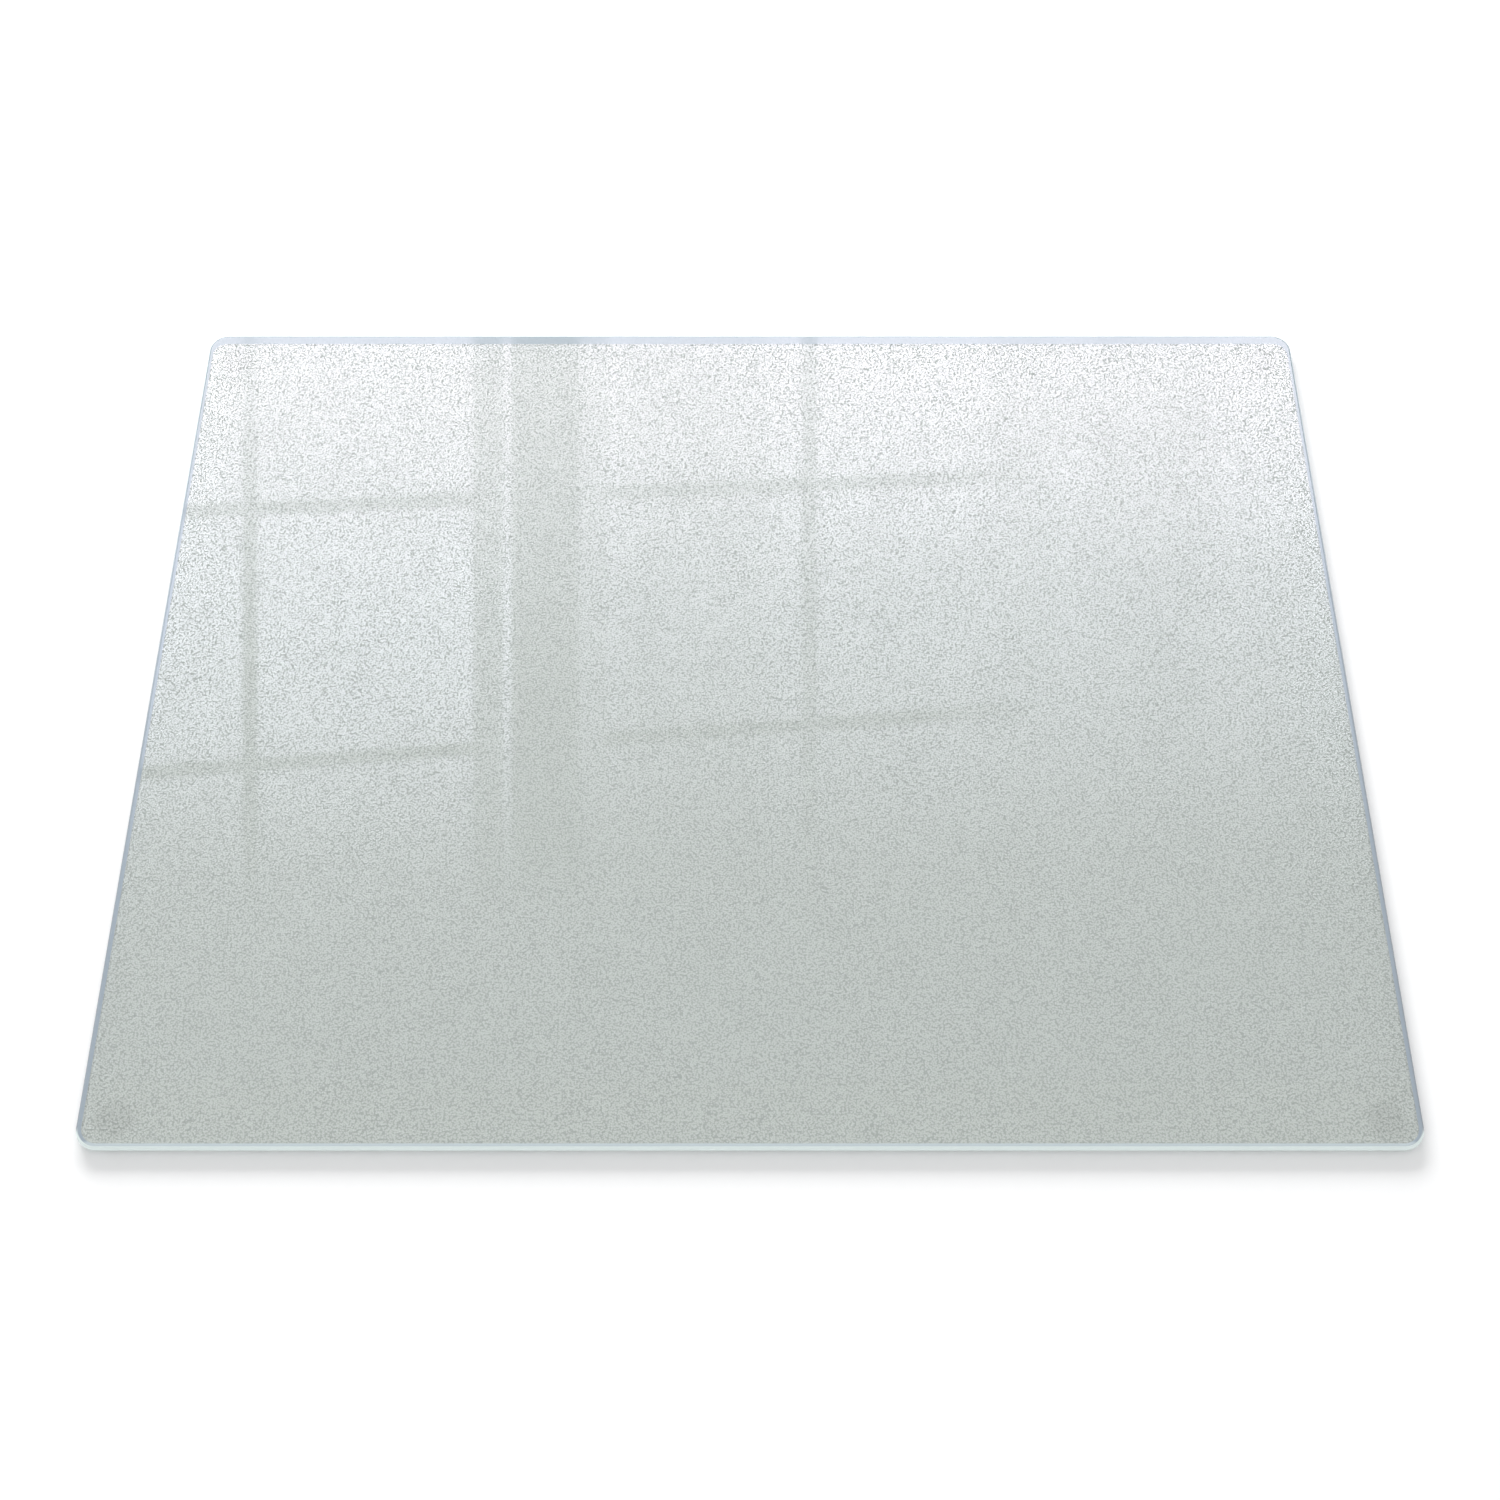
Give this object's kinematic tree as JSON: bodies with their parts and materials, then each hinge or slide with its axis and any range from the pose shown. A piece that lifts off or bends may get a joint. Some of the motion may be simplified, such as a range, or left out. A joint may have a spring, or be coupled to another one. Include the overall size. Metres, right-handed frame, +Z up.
{
  "type": "chair mat",
  "caption": "Rectangular tempered-glass chair mat with rounded corners, pencil-polished edges, a stippled underside and low round anti-slip pads near its corners.",
  "frame": {"origin": "on the floor plane, under the middle of the plate", "axes": "+X along the plate's long edges, +Y along its short edges towards the rear, +Z up"},
  "size_m": [1.1684, 0.9144, 0.0093],
  "materials": {
    "glass": "smooth polished top and edge, finely stippled underside, pale grey-green",
    "pad": "grey elastomer, satin",
    "adhesive": "clear pressure-sensitive adhesive, satin"
  },
  "bodies": {
    "root": {"glass_panel": "glass", "front_left_pad": "pad", "front_left_pad_adhesive": "adhesive", "front_right_pad": "pad", "front_right_pad_adhesive": "adhesive", "rear_left_pad": "pad", "rear_left_pad_adhesive": "adhesive", "rear_right_pad": "pad", "rear_right_pad_adhesive": "adhesive"}
  },
  "joints": []
}
